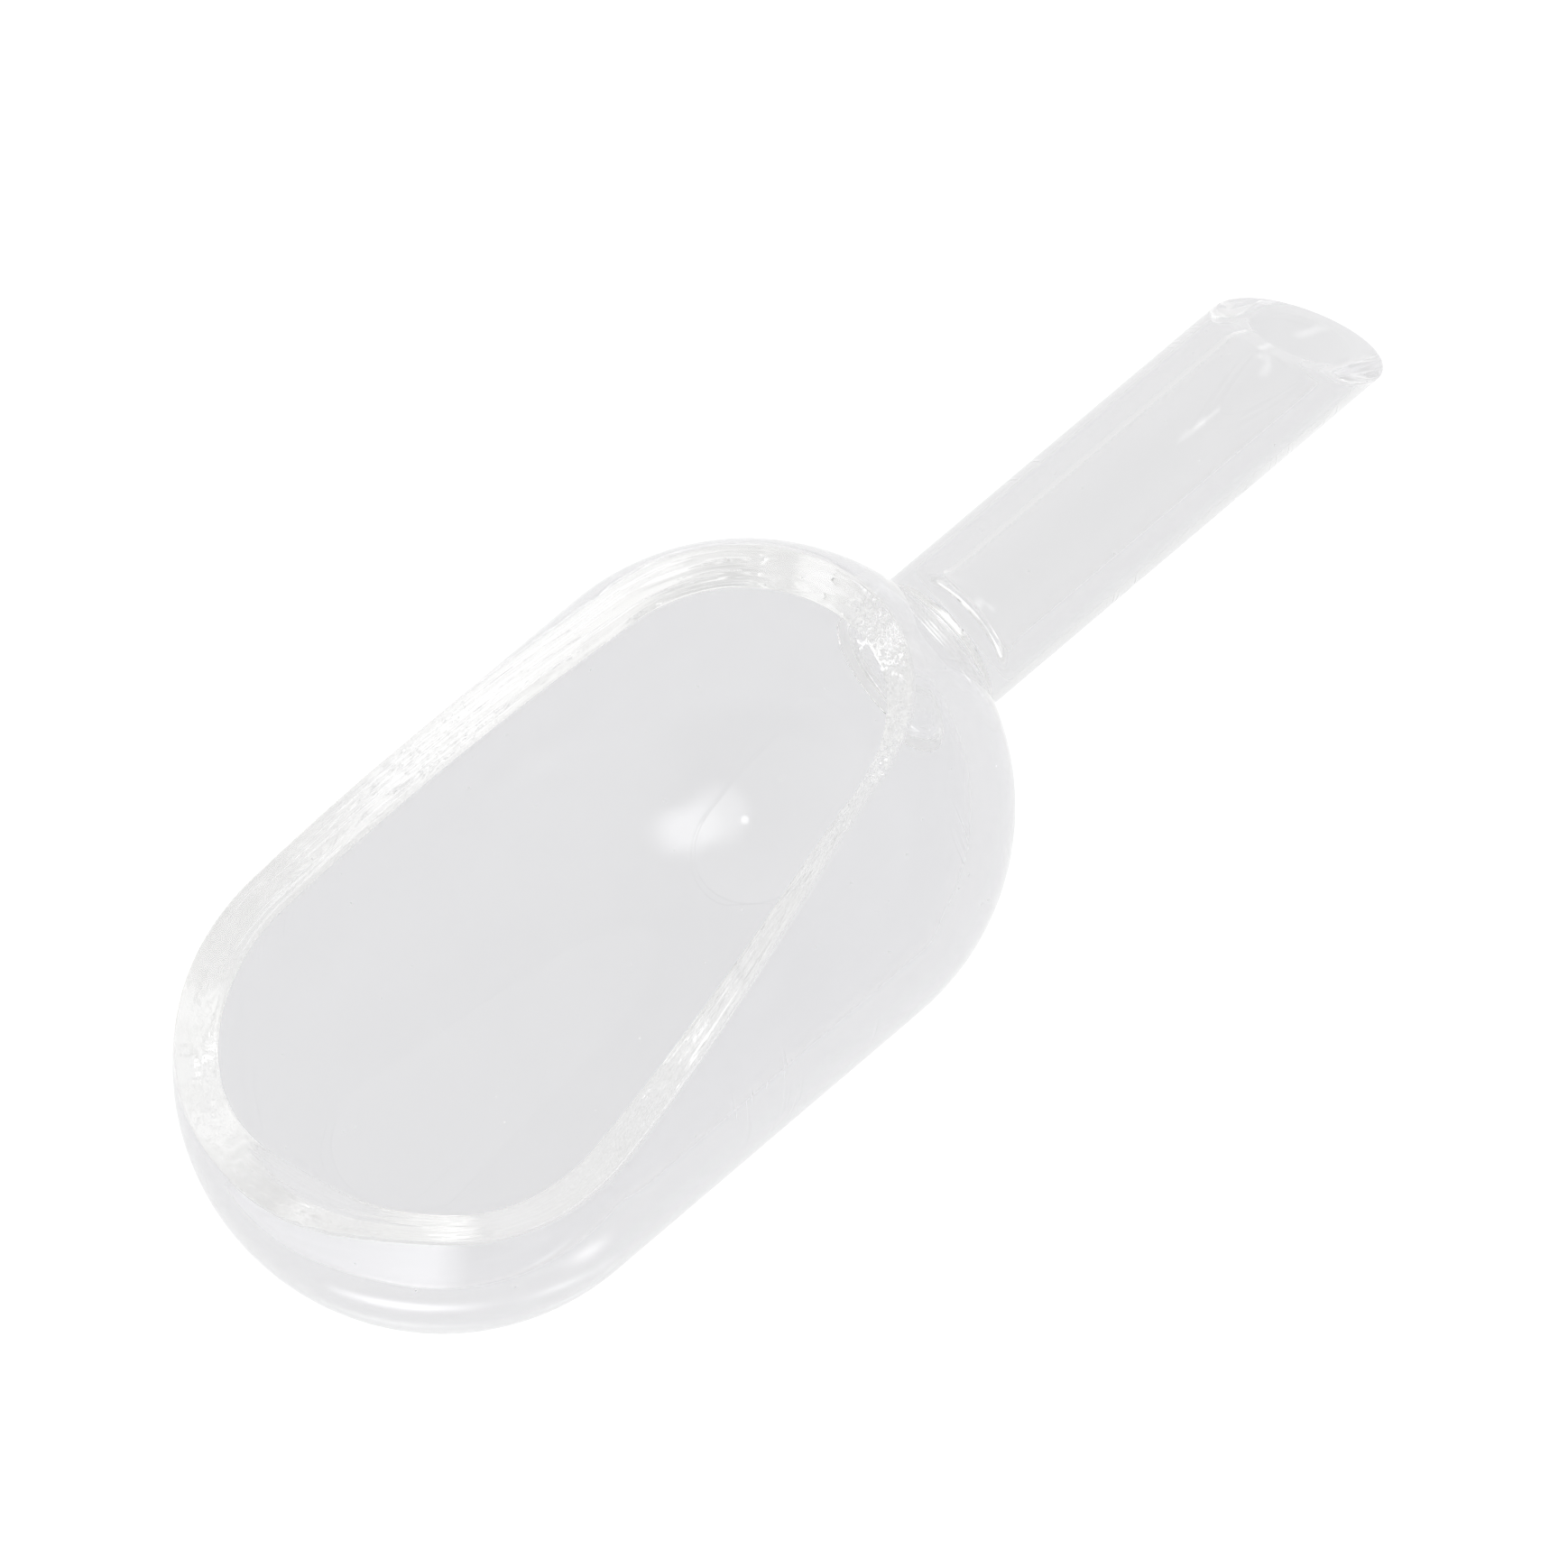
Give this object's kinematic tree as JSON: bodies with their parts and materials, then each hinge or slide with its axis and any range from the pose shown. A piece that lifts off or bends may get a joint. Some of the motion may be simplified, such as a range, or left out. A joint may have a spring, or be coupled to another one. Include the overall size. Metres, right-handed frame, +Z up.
{
  "type": "ice scoop",
  "caption": "Clear ice scoop: a thick-walled capsule-shaped bowl cut open along a rising rim, on a round tubular handle with a blind bore and a slanted end.",
  "frame": {"origin": "on the surface the scoop stands on, under the middle of its bounding box", "axes": "+X along the long axis towards the end of the handle, +Z up out of the open bowl, +Y to the left of the handle end seen from the bowl"},
  "size_m": [0.181, 0.06, 0.0537],
  "materials": {
    "clear_bowl": "polished",
    "clear_handle": "polished",
    "clear_cement": "polished"
  },
  "bodies": {
    "root": {"bowl_shell": "clear_bowl", "handle_tube": "clear_handle", "root_fillet": "clear_cement"}
  },
  "joints": []
}
